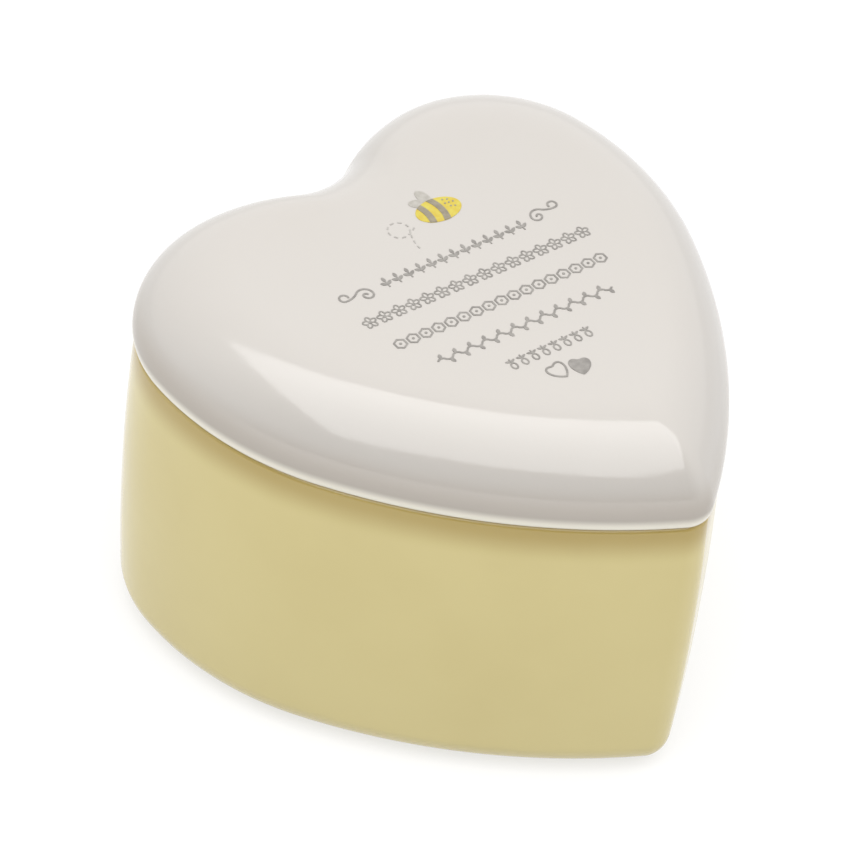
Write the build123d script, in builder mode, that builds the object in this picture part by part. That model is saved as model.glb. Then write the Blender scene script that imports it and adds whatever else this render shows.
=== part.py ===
from build123d import *

import os
from math import asin, atan2, cos, degrees, exp, radians, sin, sqrt

# A heart-shaped ceramic trinket box: a hollow base, a lift-off lid with a locating flange,
# and the fired-on print that the lid carries.
#
# Millimetres. The box stands on Z = 0 and +Z is up. The heart is symmetric about the YZ
# plane, with its tip towards -Y and its notch towards +Y, and its outline is centred on Z.

os.makedirs("parts", exist_ok=True)

# Heart outline of the lid's rim. Six arcs run from the notch round one lobe to the tip, each
# tangent to the next. A heading is the direction of travel in degrees, 0 being +X.
box_width = 100.75
notch_radius = 17.0
lobe_top_radius = 32.75
lobe_side_radius = 25.8
shoulder_radius = 55.5
side_radius = 117.5
tip_radius = 5.5
lobe_top_heading = 3.5
lobe_side_heading = -81.0
shoulder_heading = -117.4
least_tip_radius = 1.5

# Base. The wall bellies a little: each inset is measured from the lid's outline.
base_height = 59.1
base_wall = 4.6
floor_thickness = 5.0
foot_rounding = 6.8
floor_cove = 7.5
rim_rounding = 1.1
rim_inset = 0.5
belly_inset = -0.1
foot_inset = 0.7
foot_ring_width = 4.2
foot_recess_depth = 1.3

# Lid
lid_rise = 16.5
lid_lip_height = 2.0
lid_lip_undercut = 1.0
pillow_width = 15.5
crown_width = 18.0
crown_height = 2.5
lid_wall = 4.6
parallel_inset_limit = 3.0
shrink_distance = 45.0
flange_depth = 4.6
flange_thickness = 3.2
flange_clearance = 0.9
flange_edge = 0.7
ceiling_cove = 6.5

# Print: flat ink on the lid's plateau, turned a little off the heart's axis. Its own frame has
# U along the rows and V up the heart, from a point near the middle of the lid.
ink = 0.08
overprint = 0.05
stroke = 0.36
print_turn = -7.1
print_middle = (-1.95, -1.76)
row_pitch = 6.75
first_row_v = 12.6
row_widths = [28.5, 45.0, 44.0, 36.5, 17.0]
motif_height = 2.6
sprig_pitch = 2.35
blossom_pitch = 2.95
cell_pitch = 2.6
wave_pitch = 3.0
bud_pitch = 2.2
flourish_places = [(-20.3, 12.2), (19.7, 13.5)]
flourish_winding = [(0.45, 190), (0.95, 170), (1.55, 130), (3.6, -45), (0.8, -285)]
bee_u = 4.35
bee_v = 22.9
bee_length = 8.8
bee_height = 5.6
stripe_width = 1.25
stripe_bend = 7.0
stripe_places = [-2.25, 0.55]
wing_length = 3.9
wing_width = 2.1
wing_root = (-0.2, 1.9)
wing_headings = [97, 152]
speckle_radius = 0.17
speckle_places = [(2.0, 1.7), (2.8, 1.4), (1.9, 0.7), (2.6, 0.6), (3.4, 0.5), (2.4, -0.3), (3.1, -0.6)]
dash_length = 0.75
dash_width = 0.26
dash_count = 13
flight_start = (-2.2, 21.1)
flight_heading = 215
flight_winding = [(6, -20), (1.9, -315), (9, 28)]
small_heart = 0.038
open_heart_place = Location((-2.1, -19.6), 12)
solid_heart_place = Location((1.7, -20.6), -20)

lid_top = base_height + lid_rise
print_plane = Plane(
    origin=(*print_middle, lid_top),
    x_dir=(cos(radians(print_turn)), sin(radians(print_turn)), 0),
    z_dir=(0, 0, 1),
)


def turn(angle):
    """Sine of a heading in degrees: an arc of radius r covers r * (turn(first) - turn(last)) along X."""
    return sin(radians(angle))


def heart_arcs(inset):
    """Arcs of half the outline, moved in by an inset: (signed radius, first heading, last heading).

    A negative radius is the hollow notch, which grows with the inset while the others shrink.
    The notch's turn sets the width, whose widest point is where the shoulder arc heads straight
    down, and the side arc ends where the tip arc closes on the axis.
    """
    lobe_reach = lobe_side_radius * (turn(lobe_top_heading) - turn(lobe_side_heading))
    shoulder_reach = shoulder_radius * (turn(lobe_side_heading) + 1)
    notch_reach = box_width / 2 - lobe_reach - shoulder_reach + lobe_top_radius * turn(lobe_top_heading)
    notch_heading = degrees(asin(notch_reach / (notch_radius + lobe_top_radius)))
    radii = [-notch_radius - inset]
    radii += [r - inset for r in (lobe_top_radius, lobe_side_radius, shoulder_radius, side_radius)]
    headings = [0, notch_heading, lobe_top_heading, lobe_side_heading, shoulder_heading]
    tip = max(tip_radius - inset, least_tip_radius)
    side_start = sum(r * (turn(a) - turn(b)) for r, a, b in zip(radii, headings, headings[1:]))
    side_centre = side_start + radii[-1] * turn(shoulder_heading)
    headings.append(-180 - degrees(asin(side_centre / (radii[-1] - tip))))
    radii.append(tip)
    headings.append(-180)
    return list(zip(radii, headings, headings[1:]))


def rise(radius, first, last):
    """How far an arc climbs along Y between two headings."""
    return radius * (cos(radians(last)) - cos(radians(first)))


rim_arcs = heart_arcs(0)
tip_y = sum(rise(*arc) for arc in rim_arcs)
lobe_y = rise(*rim_arcs[0]) + rise(*rim_arcs[1]) + rise(lobe_side_radius, lobe_top_heading, 0)
notch_y = -(tip_y + lobe_y) / 2


def heart_section(height, inset=0.0, shrink=1.0):
    """The heart as a face at a height, moved in by an inset and then shrunk about its centre."""
    with BuildSketch(Plane.XY.offset(height)) as section:
        with BuildLine():
            point = (0, (notch_y - inset) * shrink)
            for radius, first, last in heart_arcs(inset):
                heading = (cos(radians(first)), sin(radians(first)))
                arc = JernArc(point, heading, abs(radius) * shrink, last - first)
                point = arc @ 1
            mirror(about=Plane.YZ)
        make_face()
    return section.sketch


def rounded_edge(face_height, wall_inset, climb, draw, steps=4):
    """Sections of a quarter round, from its flat face to the upright wall that it runs into.

    The face is `climb` below the wall's end, and its section is drawn in by `draw`; either may
    be negative, for a wall below the face or a mouth that flares.
    """
    angles = [radians(90 * k / steps) for k in range(steps + 1)]
    return [
        heart_section(face_height + climb * (1 - cos(a)), wall_inset + draw * (1 - sin(a)))
        for a in angles
    ]


def dome_section(inset):
    """The lid's section where its top has come in by a nominal inset, with the height there.

    The first few millimetres keep the outline's own curves, and past those the heart shrinks.
    """
    parallel = parallel_inset_limit * (1 - exp(-inset / parallel_inset_limit))
    shrink = 1 - (inset - parallel) / shrink_distance
    pillow_rise = lid_rise - lid_lip_height - crown_height
    pillow = pillow_rise * sqrt(1 - max(0, 1 - inset / pillow_width) ** 2)
    crown = crown_height * (1 - max(0, 1 - inset / crown_width) ** 2)
    return heart_section(base_height + lid_lip_height + pillow + crown, parallel, shrink)


# --- Base ---------------------------------------------------------------------------------

belly_height = (foot_rounding + base_height) / 2
rim_start = base_height - rim_rounding


def wall_sections(bottom, thickness):
    """The wall's sections from a height up to the rim's rounding, at a depth into the wall."""
    return [
        heart_section(bottom, foot_inset + thickness),
        heart_section(belly_height, belly_inset + thickness),
        heart_section(rim_start, rim_inset + thickness),
    ]


inner_rim = rim_inset + base_wall

with BuildPart() as box_base:
    loft(rounded_edge(0, foot_inset, foot_rounding, foot_rounding))
    loft(wall_sections(foot_rounding, 0))
    loft(rounded_edge(base_height, rim_inset, -rim_rounding, rim_rounding))
    # Well: a coved floor, walls that follow the outside, and a rounded inner rim
    well_floor = rounded_edge(floor_thickness, foot_inset + base_wall, floor_cove, floor_cove)
    loft(well_floor, mode=Mode.SUBTRACT)
    loft(wall_sections(floor_thickness + floor_cove, base_wall), mode=Mode.SUBTRACT)
    loft(rounded_edge(base_height, inner_rim, -rim_rounding, -rim_rounding), mode=Mode.SUBTRACT)
    # Foot ring round a shallow recess
    recess_inset = foot_inset + foot_rounding + foot_ring_width
    extrude(heart_section(0, recess_inset), amount=foot_recess_depth, mode=Mode.SUBTRACT)
box_base.part.label = "box_base"
export_step(box_base.part, "parts/box_base.step")

# --- Lid ----------------------------------------------------------------------------------

flange_inset = rim_inset + base_wall + flange_clearance
hollow_inset = flange_inset + flange_thickness
ceiling = lid_top - lid_wall

with BuildPart() as lid:
    loft(rounded_edge(base_height, 0, lid_lip_height, lid_lip_undercut))
    pillow_steps = [pillow_width * (1 - cos(radians(a))) for a in range(0, 91, 15)]
    crown_middle = (pillow_width + crown_width) / 2
    loft([dome_section(inset) for inset in pillow_steps + [crown_middle, crown_width]])
    # Flange that drops inside the base's rim
    extrude(heart_section(base_height, flange_inset), amount=-flange_depth)
    flange_bottom = faces().sort_by(Axis.Z)[0].edges()
    chamfer(flange_bottom, flange_edge)
    # Hollow underside with a coved ceiling
    extrude(
        heart_section(base_height - flange_depth, hollow_inset),
        amount=flange_depth + ceiling - ceiling_cove - base_height,
        mode=Mode.SUBTRACT,
    )
    loft(rounded_edge(ceiling, hollow_inset, -ceiling_cove, ceiling_cove), mode=Mode.SUBTRACT)
lid.part.label = "lid"
export_step(lid.part, "parts/lid.step")

# --- Print motifs, each drawn round its own origin ---------------------------------------


def arc_chain(start, heading, arcs):
    """Tangent arcs from a start and a heading: (radius, degrees turned), a left turn positive."""
    with BuildLine() as chain:
        for radius, turned in arcs:
            arc = JernArc(start, (cos(radians(heading)), sin(radians(heading))), radius, turned)
            start = arc @ 1
            heading += turned
    return chain.line


def leaf(length, width):
    """A pointed leaf from the origin along +X."""
    with BuildSketch() as shape:
        with BuildLine():
            ThreePointArc((0, 0), (length / 2, width / 2), (length, 0))
            ThreePointArc((length, 0), (length / 2, -width / 2), (0, 0))
        make_face()
    return shape.sketch


def sprig():
    """An upright stem with a leaf at its top and a pair below."""
    half = motif_height / 2
    with BuildSketch() as shape:
        with Locations((0, -half * 0.45)):
            Rectangle(stroke * 0.7, half * 1.1)
        with Locations(Location((0, 0), 90), Location((0, -half / 2), 35), Location((0, -half / 2), 145)):
            add(leaf(half, half * 0.5))
    return shape.sketch


def blossom():
    """Five open petals round a small eye."""
    petal = motif_height * 0.29
    with BuildSketch() as shape:
        with PolarLocations(motif_height / 2 - petal * 0.8, 5, start_angle=90):
            Ellipse(petal, petal * 0.72)
        with PolarLocations(motif_height / 2 - petal * 0.8, 5, start_angle=90):
            Ellipse(petal - stroke * 0.75, petal * 0.72 - stroke * 0.75, mode=Mode.SUBTRACT)
        Circle(stroke * 0.9)
    return shape.sketch


def comb_cell():
    """One open honeycomb cell with a dot in it."""
    with BuildSketch() as shape:
        RegularPolygon(motif_height / 2, 6, rotation=30)
        RegularPolygon(motif_height / 2 - stroke, 6, rotation=30, mode=Mode.SUBTRACT)
        Circle(stroke * 0.7)
    return shape.sketch


def running_wave(width):
    """A stem that waves from side to side, with a leaf on the outside of every bend."""
    swing = 55
    bend = wave_pitch / (4 * sin(radians(swing)))
    crest = bend * (1 - cos(radians(swing)))
    bends = 2 * int(width / wave_pitch)
    start = -bends * wave_pitch / 4
    sides = [(-1) ** k for k in range(bends)]
    with BuildSketch() as shape:
        trace(arc_chain((start, 0), swing, [(bend, -2 * swing * side) for side in sides]), stroke)
        for k, side in enumerate(sides):
            with Locations(Location((start + wave_pitch * (k + 0.5) / 2, side * crest), 70 * side)):
                add(leaf(motif_height * 0.42, motif_height * 0.27))
    return shape.sketch


def bud():
    """A hanging bud on a short stem, with a pair of leaves."""
    half = motif_height / 2
    with BuildSketch() as shape:
        with Locations((0, half * 0.6)):
            Rectangle(stroke * 0.7, half * 0.8)
        with Locations((0, -half * 0.35)):
            Ellipse(half * 0.5, half * 0.65)
            Ellipse(half * 0.5 - stroke * 0.8, half * 0.65 - stroke * 0.8, mode=Mode.SUBTRACT)
        with Locations(Location((0, half * 0.4), 25), Location((0, half * 0.4), 155)):
            add(leaf(half * 0.8, half * 0.35))
    return shape.sketch


def flourish(side):
    """A scroll that winds out of an eye and ends in a loop, turned to the left or the right."""
    winding = [(radius, side * turned) for radius, turned in flourish_winding]
    with BuildSketch() as shape:
        trace(arc_chain((1.9 * side, -0.6), 90, winding), stroke)
    return shape.sketch


# --- Print pieces -------------------------------------------------------------------------


def print_motif(label, motif, places):
    """A motif laid as ink on the lid at each of its places, and written as one node."""
    with BuildPart() as piece:
        with BuildSketch(print_plane):
            with Locations(*places):
                add(motif)
        extrude(amount=ink)
    piece.part.label = label
    export_step(piece.part, f"parts/{label}.step")


def row_places(row, pitch):
    """Even places along a row, as many as its width holds."""
    count = int(row_widths[row] / pitch) + 1
    v = first_row_v - row * row_pitch
    return [((k - (count - 1) / 2) * pitch, v) for k in range(count)]


print_motif("sprig_row_print", sprig(), row_places(0, sprig_pitch))
print_motif("blossom_row_print", blossom(), row_places(1, blossom_pitch))
print_motif("honeycomb_row_print", comb_cell(), row_places(2, cell_pitch))
print_motif("vine_row_print", running_wave(row_widths[3]), [(0, first_row_v - 3 * row_pitch)])
print_motif("bud_row_print", bud(), row_places(4, bud_pitch))
print_motif("left_flourish_print", flourish(1), [flourish_places[0]])
print_motif("right_flourish_print", flourish(-1), [flourish_places[1]])
print_motif("solid_heart_print", heart_section(0, 0, small_heart), [solid_heart_place])

with BuildPart() as open_heart_print:
    with BuildSketch(print_plane):
        with Locations(open_heart_place):
            add(heart_section(0, 0, small_heart))
            add(heart_section(0, stroke / small_heart, small_heart), mode=Mode.SUBTRACT)
    extrude(amount=ink)
open_heart_print.part.label = "open_heart_print"
export_step(open_heart_print.part, "parts/open_heart_print.step")

# The bee: a yellow body, with stripes and speckles printed over it, and wings behind it
with BuildPart() as bee_body_print:
    with BuildSketch(print_plane):
        with Locations((bee_u, bee_v)):
            Ellipse(bee_length / 2, bee_height / 2)
    extrude(amount=ink)
bee_body_print.part.label = "bee_body_print"
export_step(bee_body_print.part, "parts/bee_body_print.step")

with BuildSketch() as stripe_ring:
    Circle(stripe_bend + stripe_width / 2)
    Circle(stripe_bend - stripe_width / 2, mode=Mode.SUBTRACT)

with BuildPart() as bee_stripes_print:
    with BuildSketch(print_plane.offset(ink)):
        with Locations(*[(bee_u + place - stripe_bend, bee_v) for place in stripe_places]):
            add(stripe_ring.sketch)
        with Locations((bee_u, bee_v)):
            Ellipse(bee_length / 2, bee_height / 2, mode=Mode.INTERSECT)
    extrude(amount=overprint)
bee_stripes_print.part.label = "bee_stripes_print"
export_step(bee_stripes_print.part, "parts/bee_stripes_print.step")

with BuildPart() as bee_speckles_print:
    with BuildSketch(print_plane.offset(ink)):
        with Locations(*[(bee_u + u, bee_v + v) for u, v in speckle_places]):
            Circle(speckle_radius)
    extrude(amount=overprint)
bee_speckles_print.part.label = "bee_speckles_print"
export_step(bee_speckles_print.part, "parts/bee_speckles_print.step")

with BuildPart() as bee_wings_print:
    with BuildSketch(print_plane):
        for heading in wing_headings:
            reach = wing_length / 2
            wing_u = bee_u + wing_root[0] + reach * cos(radians(heading))
            wing_v = bee_v + wing_root[1] + reach * sin(radians(heading))
            with Locations(Location((wing_u, wing_v), heading)):
                Ellipse(wing_length / 2, wing_width / 2)
        with Locations((bee_u, bee_v)):
            Ellipse(bee_length / 2, bee_height / 2, mode=Mode.SUBTRACT)
    extrude(amount=ink)
bee_wings_print.part.label = "bee_wings_print"
export_step(bee_wings_print.part, "parts/bee_wings_print.step")

# The bee's dashed flight path, a loop behind its tail
flight_path = Wire(arc_chain(flight_start, flight_heading, flight_winding).edges())

with BuildPart() as flight_trail_print:
    with BuildSketch(print_plane):
        for k in range(dash_count):
            spot = flight_path @ (k / (dash_count - 1))
            along = flight_path % (k / (dash_count - 1))
            with Locations(Location((spot.X, spot.Y), degrees(atan2(along.Y, along.X)))):
                SlotOverall(dash_length, dash_width)
    extrude(amount=ink)
flight_trail_print.part.label = "flight_trail_print"
export_step(flight_trail_print.part, "parts/flight_trail_print.step")
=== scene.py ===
"""Looks of the heart-shaped trinket box: glazed base and lid, fired-on print, and a light tent.

Everything is in metres in the box's own frame: +Z up, the heart's tip towards -Y. The base and
the lid are skins of rings. Each ring is the heart outline, drawn in and shrunk by its station
along a profile, so a profile is three arrays: inset, shrink and height.
"""

import bpy
import numpy as np
from mathutils import Matrix, Vector


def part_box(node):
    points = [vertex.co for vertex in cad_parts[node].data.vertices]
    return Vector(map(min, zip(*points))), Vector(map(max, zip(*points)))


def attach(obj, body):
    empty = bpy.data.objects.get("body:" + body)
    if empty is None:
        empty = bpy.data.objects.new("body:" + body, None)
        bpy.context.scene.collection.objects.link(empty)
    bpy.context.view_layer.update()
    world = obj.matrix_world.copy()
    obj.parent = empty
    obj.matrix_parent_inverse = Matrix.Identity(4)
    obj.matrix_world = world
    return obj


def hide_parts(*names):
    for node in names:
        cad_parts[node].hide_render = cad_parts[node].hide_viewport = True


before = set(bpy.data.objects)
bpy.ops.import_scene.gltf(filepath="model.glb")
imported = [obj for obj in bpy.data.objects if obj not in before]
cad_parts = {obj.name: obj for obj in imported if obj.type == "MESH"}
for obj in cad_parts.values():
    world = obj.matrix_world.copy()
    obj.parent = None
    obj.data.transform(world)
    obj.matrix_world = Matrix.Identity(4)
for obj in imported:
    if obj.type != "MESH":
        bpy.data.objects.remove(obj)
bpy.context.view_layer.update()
scene = bpy.context.scene
MM = 0.001

# --- Sizes, the same as the ceramic's own -------------------------------------------------

base_low, base_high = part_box("box_base")
lid_low, lid_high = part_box("lid")
HALF_WIDTH = lid_high.x
SEAM = base_high.z
LID_TOP = lid_high.z
FLANGE_DEPTH = SEAM - lid_low.z

# Radii of the outline's arcs from the notch to the tip, and the headings between them
NOTCH, LOBE_TOP, LOBE_SIDE, SHOULDER, SIDE, TIP = np.array([17.0, 32.75, 25.8, 55.5, 117.5, 5.5]) * MM
LEAST_TIP = 1.5 * MM
LOBE_TOP_END, LOBE_SIDE_END, SHOULDER_END = np.radians([3.5, -81.0, -117.4])

WALL = 4.6 * MM
FLOOR = 5.0 * MM
FOOT_ROUNDING = 6.8 * MM
FLOOR_COVE = 7.5 * MM
RIM_ROUNDING = 1.1 * MM
RIM_INSET, BELLY_INSET, FOOT_INSET = np.array([0.5, -0.1, 0.7]) * MM
FOOT_RING = 4.2 * MM
FOOT_RECESS = 1.3 * MM
RECESS_ROUNDING = 0.5 * MM

LIP_HEIGHT = 2.0 * MM
LIP_UNDERCUT = 1.0 * MM
PILLOW = 15.5 * MM
CROWN = 18.0 * MM
CROWN_HEIGHT = 2.5 * MM
PARALLEL_LIMIT = 3.0 * MM
SHRINK_DISTANCE = 45.0 * MM
FLANGE_CLEARANCE = 0.9 * MM
FLANGE = 3.2 * MM
FLANGE_EDGE = 0.7 * MM
LID_WALL = 4.6 * MM
CEILING_COVE = 6.5 * MM
POLE_SHRINK = 0.02
ARC_STEPS = (18, 26, 60, 52, 80, 16)


# --- Surfaces -----------------------------------------------------------------------------


def heart_rings(inset, shrink, height):
    """Rings of the heart outline, one for each station, as an array (stations, points, 3).

    Half the outline is six arcs, each tangent to the next. On an arc of signed radius r, from
    heading a to heading h, x has grown by r (sin a - sin h) and y by r (cos h - cos a). An
    inset takes its own length off every radius, the hollow notch's being negative. The side
    arc ends at the heading from which the tip arc closes on the axis.
    """
    inset, shrink, height = np.broadcast_arrays(inset, shrink, height)
    span = LOBE_SIDE * (np.sin(LOBE_TOP_END) - np.sin(LOBE_SIDE_END)) + SHOULDER * (np.sin(LOBE_SIDE_END) + 1)
    notch_end = np.arcsin((HALF_WIDTH - span + LOBE_TOP * np.sin(LOBE_TOP_END)) / (NOTCH + LOBE_TOP))
    first_five = np.array([0, notch_end, LOBE_TOP_END, LOBE_SIDE_END, SHOULDER_END])

    def arcs(drawn_in):
        """Signed radii (stations, 6) and headings (stations, 7) for parallel insets."""
        tip = np.maximum(TIP - drawn_in, LEAST_TIP)
        radii = np.array([-NOTCH, LOBE_TOP, LOBE_SIDE, SHOULDER, SIDE]) - drawn_in[:, None]
        headings = np.tile(first_five, (len(drawn_in), 1))
        side_start = (radii[:, :4] * -np.diff(np.sin(headings))).sum(1)
        side_centre = side_start + radii[:, 4] * np.sin(SHOULDER_END)
        side_end = -np.pi - np.arcsin(side_centre / (radii[:, 4] - tip))
        headings = np.column_stack([headings, side_end, np.full(len(drawn_in), -np.pi)])
        return np.column_stack([radii, tip]), headings

    def starts(radii, headings):
        """Where each arc starts, with the notch at the origin (stations, 7)."""
        x = np.cumsum(radii * -np.diff(np.sin(headings)), axis=1)
        y = np.cumsum(radii * np.diff(np.cos(headings)), axis=1)
        pad = np.zeros((len(radii), 1))
        return np.hstack([pad, x]), np.hstack([pad, y])

    rim_radii, rim_headings = arcs(np.zeros(1))
    rim_y = starts(rim_radii, rim_headings)[1][0]
    lobe_y = rim_y[2] + LOBE_SIDE * (1 - np.cos(LOBE_TOP_END))
    notch_y = -(lobe_y + rim_y[-1]) / 2

    arc = np.repeat(np.arange(6), ARC_STEPS)
    part = np.concatenate([(np.arange(n) + 1) / n for n in ARC_STEPS])
    radii, headings = arcs(inset)
    x0, y0 = starts(radii, headings)
    first, last = headings[:, arc], headings[:, arc + 1]
    heading = first + part * (last - first)
    x = x0[:, arc] + radii[:, arc] * (np.sin(first) - np.sin(heading))
    y = y0[:, arc] + radii[:, arc] * (np.cos(heading) - np.cos(first)) + notch_y - inset[:, None]
    notch = np.column_stack([np.zeros_like(inset), notch_y - inset])
    right = np.stack([np.column_stack([notch[:, :1], x]), np.column_stack([notch[:, 1:], y])], axis=2)
    left = right[:, -2:0:-1] * [-1, 1]
    flat = np.concatenate([right, left], axis=1) * shrink[:, None, None]
    return np.concatenate([flat, np.broadcast_to(height[:, None, None], (*flat.shape[:2], 1))], axis=2)


def station(inset, shrink, height):
    """A stretch of profile as an array (stations, 3), any of the three given once or per station."""
    return np.column_stack(np.broadcast_arrays(np.atleast_1d(inset), shrink, height)).astype(float)


def quarter_round(face_height, wall_inset, climb, draw, steps=10):
    """From a flat face to an upright wall: an ellipse's quarter, climb high and draw wide."""
    angle = np.linspace(0, np.pi / 2, steps + 1)
    return station(wall_inset + draw * (1 - np.sin(angle)), 1, face_height + climb * (1 - np.cos(angle)))


def wall(bottom, top, depth, steps=22):
    """The base's wall at a depth into it: a parabola through the foot, belly and rim insets."""
    low, high = FOOT_ROUNDING, SEAM - RIM_ROUNDING
    middle = (low + SEAM) / 2
    curve = np.polyfit([low, middle, high], [FOOT_INSET, BELLY_INSET, RIM_INSET], 2)
    height = np.linspace(bottom, top, steps + 1)
    return station(np.polyval(curve, height) + depth, 1, height)


def dome(nominal):
    """The lid's top: a pillowed edge that runs into a low crown and a flat plateau.

    The height is a quarter ellipse over the pillow's width plus a parabola over the crown's.
    The section is drawn in parallel for about the first 3 mm, and shrinks about its centre after.
    """
    parallel = PARALLEL_LIMIT * (1 - np.exp(-nominal / PARALLEL_LIMIT))
    shrink = 1 - (nominal - parallel) / SHRINK_DISTANCE
    pillow_height = LID_TOP - SEAM - LIP_HEIGHT - CROWN_HEIGHT
    pillow = pillow_height * np.sqrt(1 - np.maximum(0, 1 - nominal / PILLOW) ** 2)
    crown = CROWN_HEIGHT * (1 - np.maximum(0, 1 - nominal / CROWN) ** 2)
    return station(parallel, shrink, SEAM + LIP_HEIGHT + pillow + crown)


def skin(name, profile, marks):
    """A closed skin through a profile's rings, with a fan to a pole at each end.

    marks gives, by name, one number for each station, kept on every point of that ring.
    """
    rings = heart_rings(*profile.T)
    stations, around = rings.shape[:2]
    ring_points = rings.reshape(-1, 3)
    poles = np.column_stack([np.zeros((2, 2)), profile[[0, -1], 2]])
    points = np.concatenate([ring_points, poles])
    index = np.arange(stations * around).reshape(stations, around)
    ahead = np.roll(index, -1, axis=1)
    quads = np.stack([index[:-1], ahead[:-1], ahead[1:], index[1:]], axis=-1).reshape(-1, 4)
    first_pole, last_pole = stations * around, stations * around + 1
    start_fan = np.stack([ahead[0], index[0], np.full(around, first_pole)], axis=-1)
    end_fan = np.stack([index[-1], ahead[-1], np.full(around, last_pole)], axis=-1)
    a, b, c = (points[quads[:, k]] for k in range(3))
    volume = np.einsum("ij,ij->i", a, np.cross(b, c)).sum()
    faces = [f[:, ::-1] if volume < 0 else f for f in (quads, start_fan, end_fan)]
    mesh = bpy.data.meshes.new(name)
    mesh.from_pydata(points.tolist(), [], sum((f.tolist() for f in faces), []))
    mesh.shade_smooth()
    for mark, values in marks.items():
        layer = mesh.attributes.new(mark, "FLOAT", "POINT")
        layer.data.foreach_set("value", np.concatenate([np.repeat(values, around), values[[0, -1]]]))
    piece = bpy.data.objects.new(name, mesh)
    scene.collection.objects.link(piece)
    return piece


def joined(*stretches):
    """Stretches of profile end to end, with how far along each station is: its stretch's number."""
    number = np.concatenate([np.full(len(s), k, float) for k, s in enumerate(stretches)])
    return np.concatenate(stretches), number


def base_piece():
    """The hollow base: recess, foot ring, rounded foot, bellied wall, rim, well and coved floor."""
    outwards = np.linspace(POLE_SHRINK, 1, 8)
    recess = FOOT_INSET + FOOT_ROUNDING + FOOT_RING
    profile, stretch = joined(
        station(recess + RECESS_ROUNDING, outwards, FOOT_RECESS),
        quarter_round(0, recess, RECESS_ROUNDING, -RECESS_ROUNDING, 4)[::-1],
        station(np.linspace(recess - RECESS_ROUNDING, FOOT_INSET + FOOT_ROUNDING, 5)[1:-1], 1, 0),
        quarter_round(0, FOOT_INSET, FOOT_ROUNDING, FOOT_ROUNDING, 14),
        wall(FOOT_ROUNDING, SEAM - RIM_ROUNDING, 0)[1:],
        quarter_round(SEAM, RIM_INSET, -RIM_ROUNDING, RIM_ROUNDING, 6)[::-1][1:],
        quarter_round(SEAM, RIM_INSET + WALL, -RIM_ROUNDING, -RIM_ROUNDING, 6),
        wall(FLOOR + FLOOR_COVE, SEAM - RIM_ROUNDING, WALL)[::-1][1:],
        quarter_round(FLOOR, FOOT_INSET + WALL, FLOOR_COVE, FLOOR_COVE)[::-1][1:],
        station(FOOT_INSET + WALL + FLOOR_COVE, outwards[::-1][1:], FLOOR),
    )
    inside = np.where(stretch >= 6, 1.0, 0.0)
    bare = np.where((stretch >= 1) & (stretch <= 2), 1.0, 0.0)
    return skin("glazed_base", profile, {"inside": inside, "bare": bare})


def lid_piece():
    """The lid: plateau, crown, pillowed edge, lip, seat, flange and hollow underside."""
    outwards = np.linspace(POLE_SHRINK, 1, 8)
    steps = PILLOW * (1 - np.cos(np.linspace(np.pi / 2, 0, 27)))
    nominal = np.concatenate([np.linspace(CROWN, PILLOW, 8)[:-1], steps])
    top = dome(nominal)
    plateau = station(top[0, 0], top[0, 1] * outwards[:-1], LID_TOP)
    flange_inset = RIM_INSET + WALL + FLANGE_CLEARANCE
    hollow = flange_inset + FLANGE
    flange_bottom = SEAM - FLANGE_DEPTH
    ceiling = LID_TOP - LID_WALL
    profile, stretch = joined(
        np.concatenate([plateau, top]),
        quarter_round(SEAM, 0, LIP_HEIGHT, LIP_UNDERCUT, 9)[::-1][1:],
        station(np.linspace(LIP_UNDERCUT, flange_inset, 6)[1:], 1, SEAM),
        station(flange_inset, 1, np.linspace(SEAM, flange_bottom + FLANGE_EDGE, 6)[1:]),
        quarter_round(flange_bottom, flange_inset, FLANGE_EDGE, FLANGE_EDGE, 5)[::-1][1:],
        quarter_round(flange_bottom, hollow, FLANGE_EDGE, -FLANGE_EDGE, 5),
        station(hollow, 1, np.linspace(flange_bottom + FLANGE_EDGE, ceiling - CEILING_COVE, 8)[1:]),
        quarter_round(ceiling, hollow, -CEILING_COVE, CEILING_COVE)[::-1][1:],
        station(hollow + CEILING_COVE, outwards[::-1][1:], ceiling),
    )
    bare = np.where((stretch >= 2) & (stretch <= 4), 1.0, 0.0)
    inside = np.where(stretch > 4, 1.0, 0.0)
    return skin("glazed_lid", profile, {"inside": inside, "bare": bare})


# --- Shader maths -------------------------------------------------------------------------


class Value:
    """A shader socket that Python's operators work on, each adding its Math node."""

    def __init__(self, nodes, socket):
        self.nodes = nodes
        self.socket = socket

    def math(self, operation, first, second):
        """One Math node on two numbers or values."""
        return self.nodes.node("Math", {"operation": operation}, {0: first, 1: second})

    def __add__(self, other):
        return self.math("ADD", self, other)

    def __radd__(self, other):
        return self.math("ADD", other, self)

    def __sub__(self, other):
        return self.math("SUBTRACT", self, other)

    def __rsub__(self, other):
        return self.math("SUBTRACT", other, self)

    def __mul__(self, other):
        return self.math("MULTIPLY", self, other)

    def __rmul__(self, other):
        return self.math("MULTIPLY", other, self)


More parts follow.
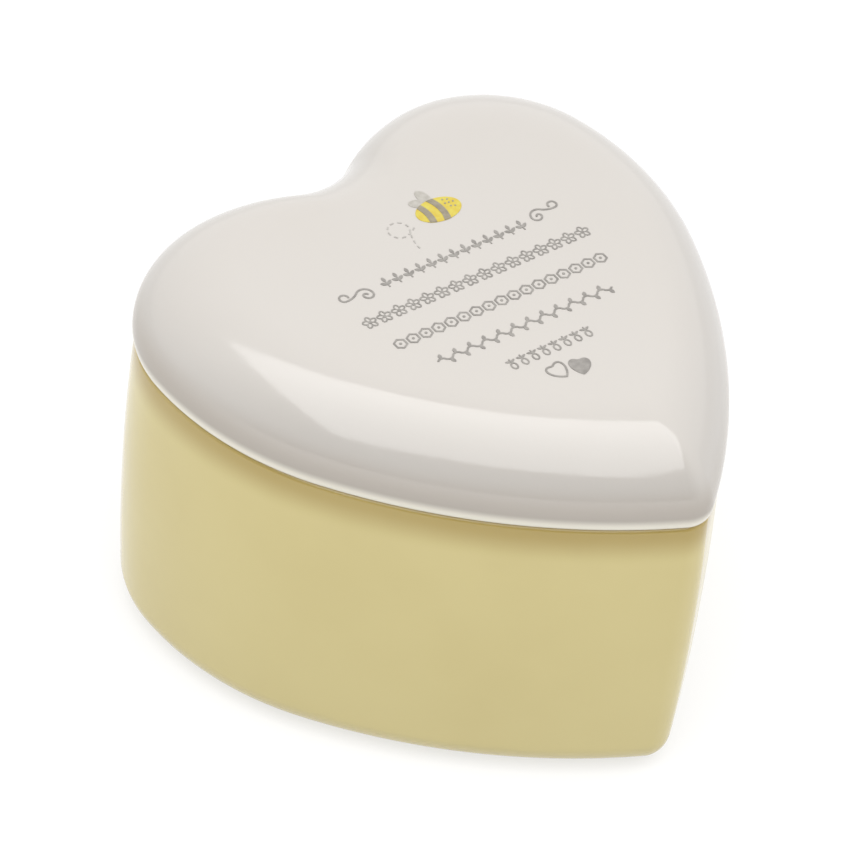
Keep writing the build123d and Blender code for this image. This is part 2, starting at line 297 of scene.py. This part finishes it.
class Nodes:
    def __init__(self, data):
        self.data = data
        self.data.use_nodes = True
        self.tree = self.data.node_tree
        self.tree.nodes.clear()
        self.place = self.node("TexCoord", {}, {}, "Object")

    def node(self, kind, settings, inputs, output=0):
        """Adds a node of a type, with its settings first and then its sockets' values or links."""
        made = self.tree.nodes.new("ShaderNode" + kind)
        for key, setting in settings.items():
            setattr(made, key, setting)
        for key, given in inputs.items():
            if isinstance(given, Value):
                self.tree.links.new(given.socket, made.inputs[key])
            else:
                made.inputs[key].default_value = given
        return Value(self, made.outputs[output]) if len(made.outputs) else None

    def noise(self, scale, detail=2.0, roughness=0.5):
        """Fractal noise between about 0 and 1, at a scale per metre."""
        inputs = {"Vector": self.place, "Scale": scale, "Detail": detail, "Roughness": roughness}
        return self.node("TexNoise", {"noise_dimensions": "3D"}, inputs)

    def ramp(self, value, low, high):
        """A smooth step from 0 at low to 1 at high, either of which may be the larger."""
        inputs = {"Value": value, "From Min": low, "From Max": high}
        return self.node("MapRange", {"interpolation_type": "SMOOTHSTEP"}, inputs)

    def mix(self, factor, first, second):
        """One colour into another by a factor."""
        colours = {0: factor, 6: first, 7: second}
        return self.node("Mix", {"data_type": "RGBA", "clamp_factor": True}, colours, 2)

    def mark(self, name):
        """A number kept on the mesh's points."""
        return self.node("Attribute", {"attribute_name": name, "attribute_type": "GEOMETRY"}, {}, "Fac")

    def pinholes(self, apart, radius):
        """1 in a few small round pits, where a scatter of points in space comes near the surface."""
        inputs = {"Vector": self.place, "Scale": 1 / apart, "Randomness": 1.0}
        cells = self.node("TexVoronoi", {"voronoi_dimensions": "3D", "feature": "F1"}, inputs, "Distance")
        return 1.0 - self.ramp(cells * apart, radius / 2, radius)

    def height(self):
        """Height above the foot ring, in metres."""
        return self.node("SeparateXYZ", {}, {"Vector": self.place}, "Z")

    def bump(self, relief, distance):
        """A normal from a relief between 0 and 1 that stands for a distance in metres."""
        return self.node("Bump", {}, {"Height": relief, "Distance": distance})

    def finish(self, **sockets):
        """The main shader, with underscores in a name for the socket's spaces."""
        named = {key.replace("_", " "): given for key, given in sockets.items()}
        shader = self.node("BsdfPrincipled", {}, named)
        self.node("OutputMaterial", {}, {"Surface": shader})
        return self.data


def rgb(red, green, blue):
    """A colour in linear light."""
    return (red, green, blue, 1.0)


def wear(piece, material):
    """Gives a piece its one material."""
    piece.data.materials.clear()
    piece.data.materials.append(material)


# --- Glazes and inks ----------------------------------------------------------------------

YELLOW_GLAZE = rgb(0.512, 0.438, 0.196)
# Painted shade: a darker golden yellow for the shadow and yellow bounce light under the lid's edge
PAINTED_SHADE_YELLOW = rgb(0.35, 0.262, 0.082)
CREAM_GLAZE = rgb(0.386, 0.366, 0.343)
WARM_CREAM_GLAZE = rgb(0.38, 0.357, 0.329)
# Painted shade: a darker, warmer cream for the lid's lower side, which faces away from the overhead light
PAINTED_SHADE_CREAM = rgb(0.345, 0.315, 0.280)
# Painted highlight: a pale line along the lid's lip, standing in for a bright reflection
PAINTED_LIP_HIGHLIGHT = rgb(0.70, 0.67, 0.58)
INSIDE_CREAM = rgb(0.66, 0.63, 0.58)
WARM_INSIDE_CREAM = rgb(0.62, 0.585, 0.525)
BISCUIT = rgb(0.58, 0.53, 0.46)
DARK_BISCUIT = rgb(0.48, 0.42, 0.35)
PIT = rgb(0.28, 0.25, 0.20)
GLAZE_IOR = 1.55
GLAZE_DEPTH = 0.25 * MM
PIT_SPACING = 11.0 * MM
PIT_RADIUS = 0.32 * MM

# Scales of the glazes' noises, in cycles per metre
PULL, PEEL, GLOSS, CLAY_GRAIN = 38.0, 520.0, 160.0, 900.0
BASE_CLOUD, LID_CLOUD = 30.0, 26.0
CLOUD_EDGES = (0.35, 0.7)
GLOSS_EDGES = (0.3, 0.75)
SMOOTHEST, DULLER, BARE_DULLER = 0.10, 0.05, 0.55

# Heights between which painted light comes in: shade under the lid's edge, warm shade on the lid's lower
# side, and a highlight along the lip
PAINTED_SHADE_UNDER_LID_BAND = (SEAM - 8.0 * MM, SEAM - 1.2 * MM)
PAINTED_SHADE_LID_SIDE_BAND = (SEAM + 9.0 * MM, SEAM + 4.0 * MM)
PAINTED_LIP_HIGHLIGHT_BAND = (SEAM + 3.0 * MM, SEAM + 1.0 * MM)

INK_IOR = 1.5
INK_ROUGHNESS = 0.3
INK_WASH, INK_GRAIN = 700.0, 1500.0
WASH_EDGES = (0.32, 0.68)
INK_DEPTH = 0.02 * MM


def fired(m, outside, cloud):
    """A piece as fired: its outside glaze, a light cream one inside, and bare clay where marked.

    Its relief is a slow pull, a fine orange peel and a few pinholes.
    """
    pit = m.pinholes(PIT_SPACING, PIT_RADIUS)
    bare = m.mark("bare")
    clay = m.mix(m.noise(CLAY_GRAIN, 4.0), BISCUIT, DARK_BISCUIT)
    colour = m.mix(m.mark("inside"), outside, m.mix(cloud * 0.5, INSIDE_CREAM, WARM_INSIDE_CREAM))
    colour = m.mix(bare, m.mix(pit * 0.6, colour, PIT), clay)
    relief = 0.15 * (1.0 - pit) + 0.75 * m.noise(PULL, 1.0) + 0.06 * m.noise(PEEL)
    rough = SMOOTHEST + DULLER * m.ramp(m.noise(GLOSS, 3.0), *GLOSS_EDGES) + BARE_DULLER * bare
    normal = m.bump(relief, GLAZE_DEPTH)
    return m.finish(Base_Color=colour, Roughness=rough, IOR=GLAZE_IOR, Normal=normal)


def base_glaze():
    """Pale yellow glaze outside with painted shade under the lid's edge, cream inside, and a bare foot ring.
    """
    m = Nodes(bpy.data.materials.new("yellow_glaze"))
    cloud = m.ramp(m.noise(BASE_CLOUD, 3.0), *CLOUD_EDGES)
    # Painted shade: the yellow darkens over the wall's top 8 mm, towards the lid's edge, for the shadow and
    # yellow bounce under the lid
    painted_shade_under_lid = m.ramp(m.height(), *PAINTED_SHADE_UNDER_LID_BAND)
    yellow = m.mix(cloud * 0.12 + painted_shade_under_lid * 0.9, YELLOW_GLAZE, PAINTED_SHADE_YELLOW)
    return fired(m, yellow, cloud)


def lid_glaze():
    """Cream glaze with painted warm shade on the lower side and a painted highlight along the lip, and bare
    underneath.
    """
    m = Nodes(bpy.data.materials.new("cream_glaze"))
    cloud = m.ramp(m.noise(LID_CLOUD, 3.0), *CLOUD_EDGES)
    cream = m.mix(cloud * 0.35, CREAM_GLAZE, WARM_CREAM_GLAZE)
    # Painted shade: the cream turns darker and warmer below about 9 mm above the seam, down towards the lip
    cream = m.mix(m.ramp(m.height(), *PAINTED_SHADE_LID_SIDE_BAND), cream, PAINTED_SHADE_CREAM)
    # Painted highlight: the cream turns pale over the lowest 3 mm above the seam, along the lip
    cream = m.mix(m.ramp(m.height(), *PAINTED_LIP_HIGHLIGHT_BAND), cream, PAINTED_LIP_HIGHLIGHT)
    return fired(m, cream, cloud)


def ink(name, thin, thick):
    """A fired ink that lies thick and thin like a watercolour wash."""
    m = Nodes(bpy.data.materials.new(name))
    wash = m.ramp(m.noise(INK_WASH, 3.0, 0.6), *WASH_EDGES)
    normal = m.bump(m.noise(INK_GRAIN), INK_DEPTH)
    return m.finish(
        Base_Color=m.mix(wash, thin, thick), Roughness=INK_ROUGHNESS, IOR=INK_IOR, Normal=normal
    )


base = base_piece()
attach(base, "base")
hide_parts("box_base")
wear(base, base_glaze())

lid = lid_piece()
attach(lid, "printed_lid")
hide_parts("lid")
wear(lid, lid_glaze())

grey = ink("grey_ink", rgb(0.22, 0.208, 0.192), rgb(0.158, 0.148, 0.136))
stripe_grey = ink("stripe_ink", rgb(0.215, 0.19, 0.135), rgb(0.158, 0.136, 0.096))
wing_grey = ink("wing_ink", rgb(0.333, 0.317, 0.286), rgb(0.27, 0.254, 0.226))
trail_grey = ink("trail_ink", rgb(0.315, 0.302, 0.28), rgb(0.252, 0.24, 0.223))
yellow = ink("yellow_ink", rgb(0.425, 0.367, 0.052), rgb(0.405, 0.30, 0.026))
INKS = {
    "bee_body_print": yellow,
    "bee_stripes_print": stripe_grey,
    "bee_wings_print": wing_grey,
    "flight_trail_print": trail_grey,
}
for name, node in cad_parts.items():
    if name.endswith("_print"):
        wear(node, INKS.get(name, grey))

# --- Studio -------------------------------------------------------------------------------

# The bearing that the lights are square to, near enough the camera's own
LIGHT_SIDE = np.radians(-48.0)
TOWARDS_CAMERA = Vector((np.sin(LIGHT_SIDE), -np.cos(LIGHT_SIDE), 0))
RIGHTWARDS = Vector((np.cos(LIGHT_SIDE), np.sin(LIGHT_SIDE), 0))

FLOOR_REACH = 3.0
FLOOR_LEVEL = -0.05 * MM
FLOOR_GREY = rgb(0.25, 0.25, 0.25)
FLOOR_GLOW = 0.65

PANEL_ABOVE_LID = 0.8
PANEL_NEAR, PANEL_FAR, PANEL_LEFT, PANEL_RIGHT = 1.49, 0.08, 0.72, 0.66
PANEL_RADIANCE = 2.75

TENT_COLOUR = rgb(1.0, 0.995, 0.99)
TENT_BRIGHT, TENT_DIM = 1.3, 0.05
TENT_BRIGHT_UNTIL, TENT_DIM_FROM = 0.1, 0.8

CAMERA_AZIMUTH, CAMERA_ELEVATION, CAMERA_ROLL = np.radians([-47.918, 43.343, 6.886])
CAMERA_DISTANCE, CAMERA_ASIDE, CAMERA_ABOVE = np.array([940.14, -8.41, 10.19]) * MM
SENSOR_WIDTH = 36.0
LENS = 230.6753


def floor_sheet():
    """A plain pale floor, a hair under the foot ring, that glows a little like a lit table."""
    x, y = FLOOR_REACH * np.array([[-1, 1, 1, -1], [-1, -1, 1, 1]])
    corners = np.column_stack([x, y, np.full(4, FLOOR_LEVEL)])
    mesh = bpy.data.meshes.new("floor")
    mesh.from_pydata(corners.tolist(), [], [(0, 1, 2, 3)])
    sheet = bpy.data.objects.new("floor", mesh)
    scene.collection.objects.link(sheet)
    m = Nodes(bpy.data.materials.new("white_paper"))
    white = rgb(1, 1, 1)
    paper = m.finish(
        Base_Color=FLOOR_GREY, Roughness=0.9, Emission_Color=white, Emission_Strength=FLOOR_GLOW
    )
    wear(sheet, paper)


def overhead_panel():
    """One broad lit panel above the lid, level, square to the camera's side."""
    data = bpy.data.lights.new("overhead", "AREA")
    data.shape = "RECTANGLE"
    data.size, data.size_y = PANEL_LEFT + PANEL_RIGHT, PANEL_NEAR + PANEL_FAR
    data.energy = PANEL_RADIANCE * np.pi * data.size * data.size_y
    light = bpy.data.objects.new("overhead", data)
    nearer = TOWARDS_CAMERA * (PANEL_NEAR - PANEL_FAR) / 2
    righter = RIGHTWARDS * (PANEL_RIGHT - PANEL_LEFT) / 2
    light.location = nearer + righter + Vector((0, 0, LID_TOP + PANEL_ABOVE_LID))
    light.rotation_euler = (0, 0, LIGHT_SIDE)
    scene.collection.objects.link(light)


def camera():
    """A long lens over the left of the tip, turned a little about its own axis."""
    outwards = Vector((np.sin(CAMERA_AZIMUTH), -np.cos(CAMERA_AZIMUTH), 0))
    back = outwards * np.cos(CAMERA_ELEVATION) + Vector((0, 0, np.sin(CAMERA_ELEVATION)))
    level = (-back).cross(Vector((0, 0, 1))).normalized()
    upright = level.cross(-back)
    right = level * np.cos(CAMERA_ROLL) + upright * np.sin(CAMERA_ROLL)
    up = upright * np.cos(CAMERA_ROLL) - level * np.sin(CAMERA_ROLL)
    data = bpy.data.cameras.new("camera")
    data.sensor_width = SENSOR_WIDTH
    data.lens = LENS
    data.clip_start, data.clip_end = 0.05, 20.0
    eye = bpy.data.objects.new("camera", data)
    target = Vector((0, 0, SEAM / 2))
    eye.location = target + back * CAMERA_DISTANCE + right * CAMERA_ASIDE + up * CAMERA_ABOVE
    eye.rotation_mode = "QUATERNION"
    eye.rotation_quaternion = Matrix((right, up, back)).transposed().to_quaternion()
    scene.collection.objects.link(eye)
    scene.camera = eye


def light_tent():
    """A white tent, bright behind and at the sides and dim on the camera's side.

    Its radiance falls in a straight line with how far a direction leans to the camera.
    """
    tent = Nodes(bpy.data.worlds.new("tent"))
    direction = tent.node("TexCoord", {}, {}, "Generated")
    leaning = {0: direction, 1: TOWARDS_CAMERA}
    lean = tent.node("VectorMath", {"operation": "DOT_PRODUCT"}, leaning, "Value")
    fall = {
        "Value": lean,
        "From Min": TENT_BRIGHT_UNTIL,
        "From Max": TENT_DIM_FROM,
        "To Min": TENT_BRIGHT,
        "To Max": TENT_DIM,
    }
    strength = tent.node("MapRange", {}, fall)
    glow = tent.node("Background", {}, {"Color": TENT_COLOUR, "Strength": strength})
    tent.node("OutputWorld", {}, {"Surface": glow})
    scene.world = tent.data


floor_sheet()
camera()
light_tent()
overhead_panel()
scene.view_settings.view_transform = "Standard"
